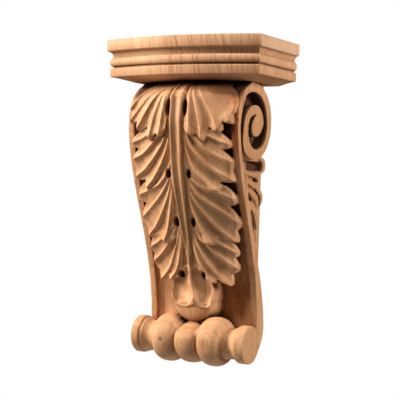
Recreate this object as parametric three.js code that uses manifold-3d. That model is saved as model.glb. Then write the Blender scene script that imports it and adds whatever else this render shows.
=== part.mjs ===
// Carved wooden bracket capital: a moulded top board on an S-scroll console with an acanthus leaf.
// Millimetres, +Z up. X = 0 is the plane of symmetry, the front faces -Y and the flat back is at Y = 0.
// Heights are measured up from the lowest point of the foot; the last lines move the origin to the
// middle of the console's back, where the wall is.

import * as THREE from 'three'
import { ParametricGeometry } from 'three/addons/geometries/ParametricGeometry.js'
import { mergeVertices } from 'three/addons/utils/BufferGeometryUtils.js'
import Module from 'manifold-3d'

// Driving dimensions
const TOTAL_HEIGHT = 336
const BOARD_HALF_WIDTH = 90.5
const BOARD_DEPTH = 88
const BOARD_BOW = 15
const BOARD_FACE_HEIGHT = 38.5
const NECK_HEIGHT = 293
const JOINT_GAP = 0.3
const BODY_HALF_WIDTH = 64.4
const CHEEK_HALF_WIDTH = 50.5
const RIM_WIDTH = 7.4
const FIELD_DEPTH = 4.5
const WALL_ORIGIN_HEIGHT = 165

// Helpers
const clamp = (value, low, high) => Math.min(Math.max(value, low), high)
const mix = (a, b, k) => a + (b - a) * k
const radians = THREE.MathUtils.degToRad
const ramp = (value, from, to) => THREE.MathUtils.smoothstep(value, from, to)

// A smooth curve through [place, value] stations, read at any place
function along(stations, place) {
  const last = stations.length - 1
  const inside = clamp(place, stations[0][0], stations[last][0])
  let i = 0
  while (i < last - 1 && inside > stations[i + 1][0]) i += 1
  const slope = (k) => {
    const a = stations[Math.max(k - 1, 0)]
    const b = stations[Math.min(k + 1, last)]
    return (b[1] - a[1]) / (b[0] - a[0])
  }
  const [x0, y0] = stations[i]
  const [x1, y1] = stations[i + 1]
  const span = x1 - x0
  const k = (inside - x0) / span
  const start = (1 + 2 * k) * (1 - k) ** 2 * y0 + k * (1 - k) ** 2 * span * slope(i)
  const end = k * k * (3 - 2 * k) * y1 + k * k * (k - 1) * span * slope(i + 1)
  return start + end
}

// Side profile: how far the rims stand out from the wall at each height
const RIM_PROFILE = [
  [6, 35.5], [28, 27.5], [52, 26.7], [70, 28.9], [93, 33.5], [126, 44], [158, 56.5], [190, 69.1],
  [221, 78.5], [243, 82.1], [257, 80.5], [275, 73.3], [287, 62.5], [NECK_HEIGHT, 54.1],
]

const rimReach = (height) => along(RIM_PROFILE, height)

// Thickness of the side ribbon, front to back, which ends the sunk cheek
const RIBBON_THICKNESS = [[0, 2], [13, 7], [22, 12], [34, 15], [53, 15], [116, 9.5], [210, 8], [300, 9]]

// How far the leaf's middle stands out over the rims, by drop below the neck
const CROWN = [[0, 18], [12, 22], [30, 17], [55, 13], [96, 17], [144, 20], [200, 20], [228, 18], [250, 14]]
const CROWN_HALF_WIDTH = 62

// Acanthus leaf, in x across and drop below the neck. Each tier is a fan of lobes from a spring
// point beside the midrib. Reaches and the tips' angles from straight down go from the outermost
// lobe to the innermost. The lobes sweep outward on the way, and start under the tier above.
const FAN = { drop: -11, spread: [58, 9], reaches: [66, 75, 71, 66, 76, 68], sweep: 0.1, from: 0.12, lift: 4 }
const SPRAY = { spread: [46, 13], reaches: [69, 82, 95, 96, 95], sweep: 1, from: 0.3, lift: 4 }
const SPRAY_DROPS = [20, 72, 125]
const LAST_SPRAY_SCALE = 0.93
const SPRING_X = 4
const NOTCH = 0.14
const CREST_HEIGHT = 4.6
const LEAF_ROOT_DEPTH = 9
const LOBE_COLUMNS = 4
const LOBE_ROWS = 4
const EYELETS = [[10, 29, 2.4, 9], [12, 95, 2.6, 5], [10, 144, 2.6, 5.5], [13.5, 199, 3, 4.5]]
const EYELET_DEPTH = 6
const BED = { from: 4, to: 207, halfWidth: 45, endHalfWidth: 38, sunk: 3, columns: 6, rows: 10 }
const MIDRIB = { from: 0, to: 222, halfWidth: 6.5, ridge: 0.8, channel: 2.6, columns: 6, rows: 16 }
const TIP = { from: 176, to: 231, halfWidth: 27, neckHalfWidth: 9, scoop: 4.5, lip: 5, columns: 12, rows: 6 }
const DROP_BOSS = { drop: 231, halfWidth: 23, halfHeight: 18, relief: 18 }

function crown(x, drop) {
  return along(CROWN, drop) * (1 - clamp(Math.abs(x) / CROWN_HALF_WIDTH, 0, 1) ** 2)
}

// A point on the front: x across, drop below the neck, relief over the rims' faces
function frontPoint(target, x, drop, relief) {
  const height = Math.min(NECK_HEIGHT - drop, NECK_HEIGHT + 10)
  target.set(x, -rimReach(Math.min(height, NECK_HEIGHT)) - relief, height)
}

// A closed solid of a carved skin: top(across, down) gives [x, drop, relief] for both from 0 to 1;
// its underside is sunk by depth, and its last row drops straight to the underside
function carvedSkin(columns, rows, depth, top) {
  const loop = 2 * columns + 2
  const shape = (u, v, target) => {
    const row = Math.round(v * (rows + 2)) - 1
    const down = clamp(row, 0, rows) / rows
    const place = (loop - Math.round(u * loop)) % loop
    const under = place > columns
    const across = (under ? loop - 1 - place : place) / columns
    const [x, drop, relief] = top(across, down)
    const sunk = under || row < 0 || row > rows
    frontPoint(target, x, drop, sunk ? relief - depth : relief)
  }
  return new ParametricGeometry(shape, loop, rows + 2)
}

// One half of a tier: lobes with a sharp crest each, and hollow flutes between the crests
function tierTop(tier, side) {
  const { reaches, spread, sweep, from, lift } = tier
  const lobes = reaches.length
  const [outer, inner] = spread
  const step = (outer - inner) / (lobes - 1)
  return (across, down) => {
    const lobe = (side > 0 ? 1 - across : across) * lobes - 0.5
    const nearest = clamp(Math.round(lobe), 0, lobes - 1)
    const offset = clamp(Math.abs(lobe - nearest) * 2, 0, 1)
    const low = clamp(Math.floor(lobe), 0, lobes - 2)
    const reach = mix(reaches[low], reaches[low + 1], clamp(lobe - low, 0, 1))
    const way = mix(from, 1 - NOTCH * offset ** 1.6, down)
    const angle = radians(outer - lobe * step) * way ** sweep
    const x = side * (SPRING_X + reach * way * Math.sin(angle))
    const drop = tier.drop + reach * way * Math.cos(angle)
    const crest = CREST_HEIGHT * ((1 - offset) ** 1.4 - 0.5) * ramp(way, 0.15, 0.6)
    return [x, drop, crown(x, drop) + crest + lift * (way - 0.6)]
  }
}

function leafTiers() {
  const last = SPRAY_DROPS.length - 1
  const sprays = SPRAY_DROPS.map((drop, i) => {
    const scale = i === last ? LAST_SPRAY_SCALE : 1
    return { ...SPRAY, drop, reaches: SPRAY.reaches.map((reach) => reach * scale) }
  })
  return [FAN, ...sprays]
}

function tierSolids() {
  const halves = []
  for (const tier of leafTiers()) {
    for (const side of [-1, 1]) {
      const columns = tier.reaches.length * LOBE_COLUMNS
      halves.push(solid(carvedSkin(columns, LOBE_ROWS, LEAF_ROOT_DEPTH, tierTop(tier, side))))
    }
  }
  return halves
}

// The leaf's own surface, under the lobes and between the tiers
function bedSolid() {
  const top = (across, down) => {
    const x = (2 * across - 1) * mix(BED.halfWidth, BED.endHalfWidth, down)
    const drop = mix(BED.from, BED.to, down)
    return [x, drop, crown(x, drop) - BED.sunk]
  }
  return solid(carvedSkin(BED.columns, BED.rows, LEAF_ROOT_DEPTH, top))
}

// Midrib: a shallow channel between two ridges, narrower towards the leaf's end
function midribSolid() {
  const top = (across, down) => {
    const place = 2 * across - 1
    const drop = mix(MIDRIB.from, MIDRIB.to, down)
    const x = place * MIDRIB.halfWidth * (1 - 0.45 * down)
    const hollow = MIDRIB.channel * (1 - place * place) ** 1.5
    return [x, drop, crown(x, drop) + MIDRIB.ridge - hollow - (Math.abs(place) === 1 ? MIDRIB.channel : 0)]
  }
  return solid(carvedSkin(MIDRIB.columns, MIDRIB.rows, LEAF_ROOT_DEPTH, top))
}

// The end of the leaf: two scoops side by side with a raised lip
function tipSolid() {
  const top = (across, down) => {
    const place = 2 * across - 1
    const side = Math.abs(place)
    const x = place * mix(TIP.neckHalfWidth, TIP.halfWidth, ramp(down, 0, 1))
    const drop = mix(TIP.from, TIP.to - 5 * (2 * side - 1) ** 2, down)
    const scoop = TIP.scoop * Math.sin(Math.PI * side) * ramp(down, 0.1, 0.6)
    const sunk = 1 + 4 * (1 - ramp(down, 0, 0.35))
    return [x, drop, crown(x, drop) - scoop + TIP.lip * ramp(down, 0.6, 1) - sunk]
  }
  return solid(carvedSkin(TIP.columns, TIP.rows, LEAF_ROOT_DEPTH + TIP.lip, top))
}

// The rounded drop under the leaf's end
function bossSolid() {
  const geometry = new THREE.SphereGeometry(1, 14, 8)
  geometry.scale(DROP_BOSS.halfWidth, DROP_BOSS.relief, DROP_BOSS.halfHeight)
  const height = NECK_HEIGHT - DROP_BOSS.drop
  geometry.translate(0, -rimReach(height), height)
  return solid(geometry)
}

// Drilled eyelets between the tiers, beside the midrib
function eyeletSolids() {
  const cutters = []
  for (const [x, drop, halfWidth, halfHeight] of EYELETS) {
    for (const side of [-1, 1]) {
      const height = NECK_HEIGHT - drop
      const geometry = new THREE.SphereGeometry(1, 8, 6)
      geometry.scale(halfWidth, EYELET_DEPTH, halfHeight)
      geometry.translate(side * x, -rimReach(height) - crown(x, drop), height)
      cutters.push(solid(geometry))
    }
  }
  return joined(cutters)
}

// Closed body from horizontal sections: rims and sunk field in front, then straight to the wall
const FIELD_COLUMNS = 6
const BODY_ROWS = 26
const BODY_FOOT = 6.5
const FIELD_FROM = 46
const FIELD_TO = 285

function bodyColumn(column) {
  const inner = BODY_HALF_WIDTH - RIM_WIDTH
  const last = FIELD_COLUMNS + 4
  if (column > last / 2) {
    const [x, sunk] = bodyColumn(last - column)
    return [-x, sunk]
  }
  if (column === 0) return [-BODY_HALF_WIDTH, false]
  if (column === 1) return [-inner, false]
  return [mix(-inner + 0.6, inner - 0.6, (column - 2) / FIELD_COLUMNS), true]
}

function bodyGeometry() {
  const front = FIELD_COLUMNS + 4
  const loop = front + 3
  const shape = (u, v, target) => {
    const row = Math.round(v * (BODY_ROWS + 2)) - 1
    const height = mix(BODY_FOOT, NECK_HEIGHT - JOINT_GAP, clamp(row, 0, BODY_ROWS) / BODY_ROWS)
    if (row < 0 || row > BODY_ROWS) {
      target.set(0, -4, height)
      return
    }
    const column = Math.round(u * loop) % loop
    if (column > front) {
      target.set((column === front + 1 ? 1 : -1) * BODY_HALF_WIDTH, 0, height)
      return
    }
    const [x, sunk] = bodyColumn(column)
    const inField = height > FIELD_FROM && height < FIELD_TO
    target.set(x, -rimReach(height) + (sunk && inField ? FIELD_DEPTH : 0), height)
  }
  return new ParametricGeometry(shape, loop, BODY_ROWS + 2)
}

// Turns a closed three.js geometry into a solid that can be cut and joined
const wasm = await Module()
wasm.setup()

function solid(geometry) {
  const bare = geometry.clone()
  bare.deleteAttribute('normal')
  bare.deleteAttribute('uv')
  const merged = mergeVertices(bare, 1e-4)
  const index = Array.from(merged.index.array)
  const kept = []
  for (let i = 0; i < index.length; i += 3) {
    const [a, b, c] = index.slice(i, i + 3)
    if (a !== b && b !== c && c !== a) kept.push(a, b, c)
  }
  const mesh = new wasm.Mesh({
    numProp: 3,
    vertProperties: new Float32Array(merged.attributes.position.array),
    triVerts: new Uint32Array(kept),
  })
  return new wasm.Manifold(mesh)
}

function geometryOf(manifold) {
  const mesh = manifold.getMesh()
  const geometry = new THREE.BufferGeometry()
  geometry.setAttribute('position', new THREE.BufferAttribute(new Float32Array(mesh.vertProperties), 3))
  geometry.setIndex(new THREE.BufferAttribute(new Uint32Array(mesh.triVerts), 1))
  geometry.computeVertexNormals()
  return geometry
}

const joined = (solids) => solids.reduce((sum, next) => sum.add(next))

// An outline drawn in (distance from the wall, height), given thickness across x
function slabAcross(points, fromX, toX) {
  const outline = new THREE.Shape(points.map(([reach, height]) => new THREE.Vector2(reach, height)))
  const geometry = new THREE.ExtrudeGeometry(outline, { depth: toX - fromX, bevelEnabled: false })
  const turn = new THREE.Matrix4().makeBasis(
    new THREE.Vector3(0, -1, 0), new THREE.Vector3(0, 0, 1), new THREE.Vector3(-1, 0, 0),
  )
  geometry.applyMatrix4(turn)
  geometry.translate(toX, 0, 0)
  return solid(geometry)
}

// Volute: a ribbon whose middle line winds from the front over the top to the eye
const VOLUTE = { reach: 45, height: 253.5 }
const RING_OUTER = [
  [0, 37], [90, 40], [180, 37.5], [270, 38.5], [300, 37.5], [325, 29.5], [347, 22.6], [383, 20.5], [450, 18],
]
const RING_INNER = [
  [0, 27], [90, 29.5], [180, 25], [270, 27], [300, 19.5], [325, 16], [360, 12], [405, 10], [450, 10],
]
const RING_STEP = 15
const RING_SPLIT = 225
const RING_END = 450
const EYE_SIDES = 16
const EYE = { reach: 40.5, height: 250, halfReach: 11.5, halfHeight: 14.5 }

function volutePoint(turn, radius) {
  const angle = radians(turn)
  return [VOLUTE.reach + radius * Math.cos(angle), VOLUTE.height + radius * Math.sin(angle)]
}

function voluteRibbon(from, to) {
  const outer = []
  const inner = []
  for (let turn = from; turn <= to; turn += RING_STEP) {
    outer.push(volutePoint(turn, along(RING_OUTER, turn)))
    inner.push(volutePoint(turn, along(RING_INNER, turn)))
  }
  return [...outer, ...inner.reverse()]
}

function eyeOutline(count) {
  const points = []
  for (let i = 0; i < count; i += 1) {
    const angle = (2 * Math.PI * i) / count
    points.push([EYE.reach + EYE.halfReach * Math.cos(angle), EYE.height + EYE.halfHeight * Math.sin(angle)])
  }
  return points
}

// What is cut from each cheek, behind the ribbon
function cheekOutline() {
  const beyond = 8
  const points = [[-beyond, -5], [-beyond, NECK_HEIGHT + 5]]
  const rows = 26
  for (let row = 0; row <= rows; row += 1) {
    const height = mix(NECK_HEIGHT + 5, 0, row / rows)
    points.push([rimReach(height) - along(RIBBON_THICKNESS, height), height])
  }
  points.push([rimReach(0), -5])
  return points
}

const BLADE_SIDES = 6
const BLADE_ROWS = 6

// A leaf-shaped pillow in the cheek, from a spine in (reach, height) and a half width
function cheekBlade({ spine, halfWidth, rise }) {
  const curve = new THREE.SplineCurve(spine.map(([reach, height]) => new THREE.Vector2(reach, height)))
  const shape = (u, v, target) => {
    const centre = curve.getPoint(v)
    const tangent = curve.getTangent(v)
    const swell = Math.sin(Math.PI * v) ** 0.6
    const angle = -2 * Math.PI * u
    const side = Math.cos(angle) * halfWidth * swell
    const out = Math.sin(angle) * rise * swell
    target.set(CHEEK_HALF_WIDTH + out, -(centre.x - tangent.y * side), centre.y + tangent.x * side)
  }
  return new ParametricGeometry(shape, BLADE_SIDES, BLADE_ROWS)
}

const CHEEK_BLADES = [
  { spine: [[38, 206], [22, 209], [11, 201], [20, 196]], halfWidth: 5.5, rise: 10 },
  { spine: [[24, 195], [13, 184], [14, 172], [22, 164]], halfWidth: 6.5, rise: 10 },
  { spine: [[40, 206], [39, 190], [36, 174], [31, 160]], halfWidth: 3.5, rise: 11 },
  { spine: [[27, 172], [11, 155], [10, 138], [19, 121]], halfWidth: 8, rise: 10 },
]

// Foot roll: turned about an axis along x
const ROLL = { reach: 44, height: 25.5, halfLength: 67, flareEnd: 57, ball: 25.5, groove: 17.5, disc: 19.6, hollow: 2.6 }
const BALL_PITCH = 27
const ROLL_SIDES = 18
const ROLL_STEPS = 28

function ballRadius(offset) {
  const half = BALL_PITCH / 2
  return ROLL.groove + (ROLL.ball - ROLL.groove) * Math.sqrt(1 - clamp(Math.abs(offset) / half, 0, 1) ** 2.2)
}

function rollRadius(x) {
  const across = Math.abs(x)
  const ballsEnd = BALL_PITCH * 1.5
  if (across < ballsEnd) return ballRadius(across - BALL_PITCH * Math.round(across / BALL_PITCH))
  const flare = clamp((across - ballsEnd) / (ROLL.flareEnd - ballsEnd), 0, 1)
  const base = mix(ROLL.groove, ROLL.disc, ramp(flare, 0, 1))
  return base - ROLL.hollow * Math.sin(Math.PI * flare)
}

function rollSolid() {
  const profile = [new THREE.Vector2(0, -ROLL.halfLength)]
  for (let i = 0; i <= ROLL_STEPS; i += 1) {
    const x = mix(-ROLL.halfLength, ROLL.halfLength, i / ROLL_STEPS)
    profile.push(new THREE.Vector2(rollRadius(x), x))
  }
  profile.push(new THREE.Vector2(0, ROLL.halfLength))
  const geometry = new THREE.LatheGeometry(profile, ROLL_SIDES)
  geometry.rotateZ(-Math.PI / 2)
  geometry.translate(0, -ROLL.reach, ROLL.height)
  return solid(geometry)
}

function mirrored(manifold) {
  return manifold.mirror([1, 0, 0])
}

function consoleGeometry() {
  const outside = BODY_HALF_WIDTH + 5
  const cut = slabAcross(cheekOutline(), CHEEK_HALF_WIDTH, outside)
  const scrollParts = [
    slabAcross(voluteRibbon(0, RING_SPLIT), CHEEK_HALF_WIDTH, outside),
    slabAcross(voluteRibbon(RING_SPLIT, RING_END), CHEEK_HALF_WIDTH, outside),
    slabAcross(eyeOutline(EYE_SIDES), CHEEK_HALF_WIDTH, outside),
  ]
  const recess = cut.subtract(joined(scrollParts))
  const leaf = joined([bedSolid(), ...tierSolids(), midribSolid(), tipSolid()]).subtract(eyeletSolids())
  const front = joined([solid(bodyGeometry()), leaf, bossSolid()])
  const above = new THREE.BoxGeometry(4 * BODY_HALF_WIDTH, 4 * BODY_HALF_WIDTH, 40)
  above.translate(0, 0, NECK_HEIGHT - JOINT_GAP + 20)
  const body = front.subtract(solid(above)).subtract(recess).subtract(mirrored(recess))
  const blades = joined(CHEEK_BLADES.map((blade) => solid(cheekBlade(blade))))
  return geometryOf(joined([body, blades, mirrored(blades), rollSolid()]))
}

// Top board: mould profile as [drop from the top, inset], swept round the front and both ends
function mouldProfile() {
  const profile = [[0, 0], [11.5, 0], [12.5, 0.9]]
  const coveSteps = 4
  for (let i = 1; i <= coveSteps; i += 1) {
    const angle = (Math.PI / 2) * (i / coveSteps)
    profile.push([12.5 + 5 * Math.sin(angle), 0.9 + 3 * (1 - Math.cos(angle))])
  }
  const torusSteps = 6
  for (let i = 1; i <= torusSteps; i += 1) {
    const angle = Math.PI * (i / torusSteps)
    profile.push([17.5 + 4.9 * (1 - Math.cos(angle)), 3.9 - 2.4 * Math.sin(angle)])
  }
  profile.push([28.4, 4.6], [30, 2.2], [BOARD_FACE_HEIGHT, 2.4], [TOTAL_HEIGHT - NECK_HEIGHT, 22])
  return profile
}

// Plan of the board at an inset: back left, left front corner, bowed front, right corner, back right
const BOW_STEPS = 12

function planPoint(step, inset) {
  const halfWidth = BOARD_HALF_WIDTH - inset
  const depth = BOARD_DEPTH - inset
  if (step === 0) return [-halfWidth, 0]
  if (step === BOW_STEPS + 2) return [halfWidth, 0]
  const place = (2 * (step - 1)) / BOW_STEPS - 1
  return [place * halfWidth, -depth - BOARD_BOW * (1 - place * place)]
}

function boardGeometry() {
  const profile = mouldProfile()
  const rings = profile.length
  const corners = BOW_STEPS + 3
  const shape = (u, v, target) => {
    const ring = rings - Math.round(v * (rings + 1))
    const [drop, inset] = profile[clamp(ring, 0, rings - 1)]
    if (ring < 0 || ring > rings - 1) {
      target.set(0, -BOARD_DEPTH / 2, TOTAL_HEIGHT - drop)
      return
    }
    const [x, y] = planPoint(Math.round(u * corners) % corners, inset)
    target.set(x, y, TOTAL_HEIGHT - drop)
  }
  const geometry = new ParametricGeometry(shape, corners, rings + 1)
  return geometryOf(solid(geometry))
}

// Scene
const beech = new THREE.MeshStandardMaterial({ color: 0xc08f63, roughness: 0.62, metalness: 0 })
const beechBoard = new THREE.MeshStandardMaterial({ color: 0xc4966c, roughness: 0.6, metalness: 0 })

const capital = new THREE.Group()
const abacus = new THREE.Mesh(boardGeometry(), beechBoard)
abacus.name = 'abacus'
const consoleBody = new THREE.Mesh(consoleGeometry(), beech)
consoleBody.name = 'console'
capital.add(abacus, consoleBody)
capital.position.z = -WALL_ORIGIN_HEIGHT

export default capital
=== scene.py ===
# Carved wooden bracket capital: fine carving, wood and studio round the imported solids.
# Carving is worked out in millimetres: x across, reach out from the wall, height up from the lowest
# point of the foot. The last step of each piece turns that into metres in the row's frame.

import math

import bpy
import numpy as np
from mathutils import Matrix, Vector


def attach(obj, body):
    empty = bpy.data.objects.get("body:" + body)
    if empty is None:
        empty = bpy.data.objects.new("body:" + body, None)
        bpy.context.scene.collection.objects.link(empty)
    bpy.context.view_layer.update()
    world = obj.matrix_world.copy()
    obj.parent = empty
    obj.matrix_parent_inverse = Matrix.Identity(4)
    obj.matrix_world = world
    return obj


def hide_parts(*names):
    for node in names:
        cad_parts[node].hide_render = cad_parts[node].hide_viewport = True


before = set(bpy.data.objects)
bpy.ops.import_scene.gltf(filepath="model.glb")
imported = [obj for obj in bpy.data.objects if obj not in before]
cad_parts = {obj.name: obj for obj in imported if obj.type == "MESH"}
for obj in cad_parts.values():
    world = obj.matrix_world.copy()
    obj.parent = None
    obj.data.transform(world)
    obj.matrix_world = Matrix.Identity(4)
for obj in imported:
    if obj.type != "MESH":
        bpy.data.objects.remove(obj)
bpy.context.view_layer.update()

MM = 0.001
TOTAL_HEIGHT = 336.0
BOARD_HALF_WIDTH = 90.5
BOARD_DEPTH = 88.0
BOARD_BOW = 15.0
NECK_HEIGHT = 293.0
JOINT_GAP = 0.3
CONSOLE_TOP = NECK_HEIGHT - JOINT_GAP
BODY_HALF_WIDTH = 64.4
CHEEK_HALF_WIDTH = 50.5
RIM_WIDTH = 7.4
FIELD_DEPTH = 4.5
WALL_ORIGIN_HEIGHT = 165.0
BODY_FOOT = 6.5


# Helpers

def along(stations, place):
    """A smooth curve through [place, value] stations, read at any places."""
    stations = np.asarray(stations, float)
    xs, ys = stations[:, 0], stations[:, 1]
    inside = np.clip(place, xs[0], xs[-1])
    low = np.clip(np.searchsorted(xs, inside, side="right") - 1, 0, len(xs) - 2)
    before = np.maximum(np.arange(len(xs)) - 1, 0)
    after = np.minimum(np.arange(len(xs)) + 1, len(xs) - 1)
    slope = (ys[after] - ys[before]) / (xs[after] - xs[before])
    span = xs[low + 1] - xs[low]
    k = (inside - xs[low]) / span
    start = (1 + 2 * k) * (1 - k) ** 2 * ys[low] + k * (1 - k) ** 2 * span * slope[low]
    end = k * k * (3 - 2 * k) * ys[low + 1] + k * k * (k - 1) * span * slope[low + 1]
    return start + end


def ramp(value, start, end):
    """0 before the start, 1 after the end, and an even ease between them."""
    k = np.clip((np.asarray(value, float) - start) / (end - start), 0, 1)
    return k * k * (3 - 2 * k)


def mix(a, b, k):
    return a + (b - a) * k


def both_sides(build):
    for side in (-1, 1):
        build(side)


# Side profile: how far the rims stand out from the wall at each height, how thick the ribbon is
# there, and how far the leaf's middle stands out over the rims, by drop below the neck

RIM_PROFILE = [
    (6, 35.5), (28, 27.5), (52, 26.7), (70, 28.9), (93, 33.5), (126, 44), (158, 56.5), (190, 69.1),
    (221, 78.5), (243, 82.1), (257, 80.5), (275, 73.3), (287, 62.5), (293, 54.1),
]
RIBBON_THICKNESS = [
    (0, 2), (13, 7), (22, 12), (34, 15), (53, 15), (116, 9.5), (205, 8), (222, 7), (236, 6.5),
    (275, 6), (293, 8),
]
CROWN = [
    (0, 18), (12, 22), (30, 17), (55, 13), (96, 17), (144, 20), (200, 20), (228, 18), (250, 14),
]
CROWN_HALF_WIDTH = 62.0


def rim_reach(height):
    return along(RIM_PROFILE, height)


def crown(x, drop):
    return along(CROWN, drop) * (1 - np.clip(np.abs(x) / CROWN_HALF_WIDTH, 0, 1) ** 2)


def front_point(x, drop, relief):
    """A point on the front: x across, drop below the neck, relief over the rims' faces."""
    height = NECK_HEIGHT - drop
    reach = rim_reach(np.clip(height, 0, NECK_HEIGHT)) + relief
    return np.stack([x, reach, np.minimum(height, CONSOLE_TOP)], axis=-1)


# Meshes are gathered as points and faces

class Heap:
    """Closed shells that overlap, to be fused into one surface."""

    def __init__(self):
        self.points = []
        self.faces = []
        self.count = 0

    def add(self, points, faces):
        points = np.asarray(points, float).reshape(-1, 3)
        self.points.append(points)
        self.faces.extend([tuple(int(i) + self.count for i in face) for face in faces])
        self.count += len(points)

    def mesh(self, name):
        mesh = bpy.data.meshes.new(name)
        placed = in_row_frame(np.concatenate(self.points))
        mesh.from_pydata(placed.tolist(), [], self.faces)
        mesh.update()
        return mesh


def in_row_frame(points):
    """From x, reach and height in millimetres to the row's frame in metres."""
    return (points * (1, -1, 1) - (0, 0, WALL_ORIGIN_HEIGHT)) * MM


def in_millimetres(placed):
    return (placed / MM + (0, 0, WALL_ORIGIN_HEIGHT)) * (1, -1, 1)


def grid_faces(rows, columns, first=0, wrap=False, flip=False):
    """Quads of a grid of points stored row after row."""
    faces = []
    last = columns if wrap else columns - 1
    for r in range(rows - 1):
        for c in range(last):
            a = first + r * columns + c
            b = first + r * columns + (c + 1) % columns
            quad = (a, b, b + columns, a + columns)
            faces.append(quad[::-1] if flip else quad)
    return faces


def slab_shell(heap, top, under):
    """A closed shell between two grids of points of the same size."""
    rows, columns = top.shape[:2]
    size = rows * columns
    points = np.concatenate([top.reshape(-1, 3), under.reshape(-1, 3)])
    faces = grid_faces(rows, columns) + grid_faces(rows, columns, size, flip=True)
    edge = list(range(columns))
    edge += [r * columns + columns - 1 for r in range(1, rows)]
    edge += [(rows - 1) * columns + c for c in range(columns - 2, -1, -1)]
    edge += [r * columns for r in range(rows - 2, 0, -1)]
    for i, a in enumerate(edge):
        b = edge[(i + 1) % len(edge)]
        faces.append((b, a, a + size, b + size))
    heap.add(points, faces)


def plate_across(heap, outline, from_x, to_x):
    """A closed plate from an outline in (reach, height) and two places across."""
    outline = np.asarray(outline, float)
    count = len(outline)
    low = np.column_stack([np.full(count, from_x), outline])
    high = np.column_stack([np.full(count, to_x), outline])
    faces = [tuple(range(count)), tuple(range(2 * count - 1, count - 1, -1))]
    for i in range(count):
        j = (i + 1) % count
        faces.append((j, i, i + count, j + count))
    heap.add(np.concatenate([low, high]), faces)


# Acanthus leaf: each tier is a fan of ridges from beside the midrib out to the tips, as
# (x across, drop below the neck), from the outermost ridge to the innermost. The flutes' depths and
# the notches between the tips belong to the gaps between ridges.

FAN = {
    "ridges": [
        [(6, -16), (26, -3), (43, 9), (55, 19), (62.5, 31)],
        [(5, -13), (23, 4), (38, 17), (50, 30), (60, 44)],
        [(4, -12), (18, 5), (29, 19), (39, 34), (48, 52)],
        [(4, -11), (14, 6), (21, 22), (27, 41), (31, 62)],
        [(4, -11), (10, 4), (14, 18), (15.5, 36), (17.5, 57)],
    ],
    "flutes": [1.0, 1.1, 1.4, 1.0],
    "right_flutes": [0.35, 0.55, 1.2, 1.2],
    "notches": [0.05, 0.1, 0.14, 0.08],
    "lift": 6.0,
}
SPRAYS = [
    {
        "ridges": [
            [(4, 18), (14, 38), (28, 52), (43, 60), (58, 65)],
            [(5, 24), (15, 47), (27, 63), (42, 75), (58.5, 82)],
            [(6, 32), (14, 60), (25, 76), (40, 90), (58.5, 101)],
            [(7, 42), (11, 68), (19, 86), (29, 99), (42, 112)],
        ],
        "flutes": [0.7, 1.0, 1.3],
        "notches": [0.14, 0.03, 0.1],
        "lift": 4.5,
    },
    {
        "ridges": [
            [(4, 74), (13, 94), (24, 106), (38, 112), (57.5, 119)],
            [(5, 82), (14, 104), (26, 119), (40, 130), (58, 143)],
            [(6, 90), (13, 113), (23, 131), (36, 148), (53, 163)],
            [(7, 98), (11, 121), (16, 138), (21, 153), (28, 167)],
        ],
        "flutes": [0.9, 0.8, 1.2],
        "notches": [0.14, 0.04, 0.12],
        "lift": 4.5,
    },
    {
        "ridges": [
            [(4, 126), (12, 146), (24, 158), (37, 166), (52, 174)],
            [(5, 132), (13, 153), (24, 168), (36, 179), (51, 190)],
            [(6, 139), (11, 160), (18, 178), (27, 194), (42, 209)],
            [(6, 148), (8, 168), (12, 183), (17, 195), (26, 207)],
        ],
        "flutes": [0.8, 1.2, 0.9],
        "notches": [0.07, 0.06, 0.12],
        "lift": 4.5,
    },
]
LOBE_COLUMNS = 22
TIER_ROWS = 80
RIDGE_SAMPLES = 201
FLUTE = {
    "share": 0.25, "most": 3.6, "sharpness": 3.2, "level": 0.6, "at_root": 0.35,
    "from": 0.1, "full": 0.45,
}
LIP = {"rise": 2.2, "from": 0.8, "to": 0.97, "curl": 3.0, "curl_from": 0.965}
ROOT = {"sunk": 3.0, "to": 0.25}
LEAF_THICKNESS = {"root": 11.0, "tip": 6.5, "thins_from": 0.6}
LIFT_LEVEL_AT = 0.6


def ridge_places(ridges, places):
    """Points of every ridge at the given shares of its length: ridge, place, (across, down)."""
    found = []
    for ridge in ridges:
        ridge = np.asarray(ridge, float)
        steps = np.hypot(*np.diff(ridge, axis=0).T)
        shares = np.concatenate([[0], np.cumsum(steps)]) / steps.sum()
        across = along(np.column_stack([shares, ridge[:, 0]]), places)
        down = along(np.column_stack([shares, ridge[:, 1]]), places)
        found.append(np.stack([across, down], axis=-1))
    return np.array(found)


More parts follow.
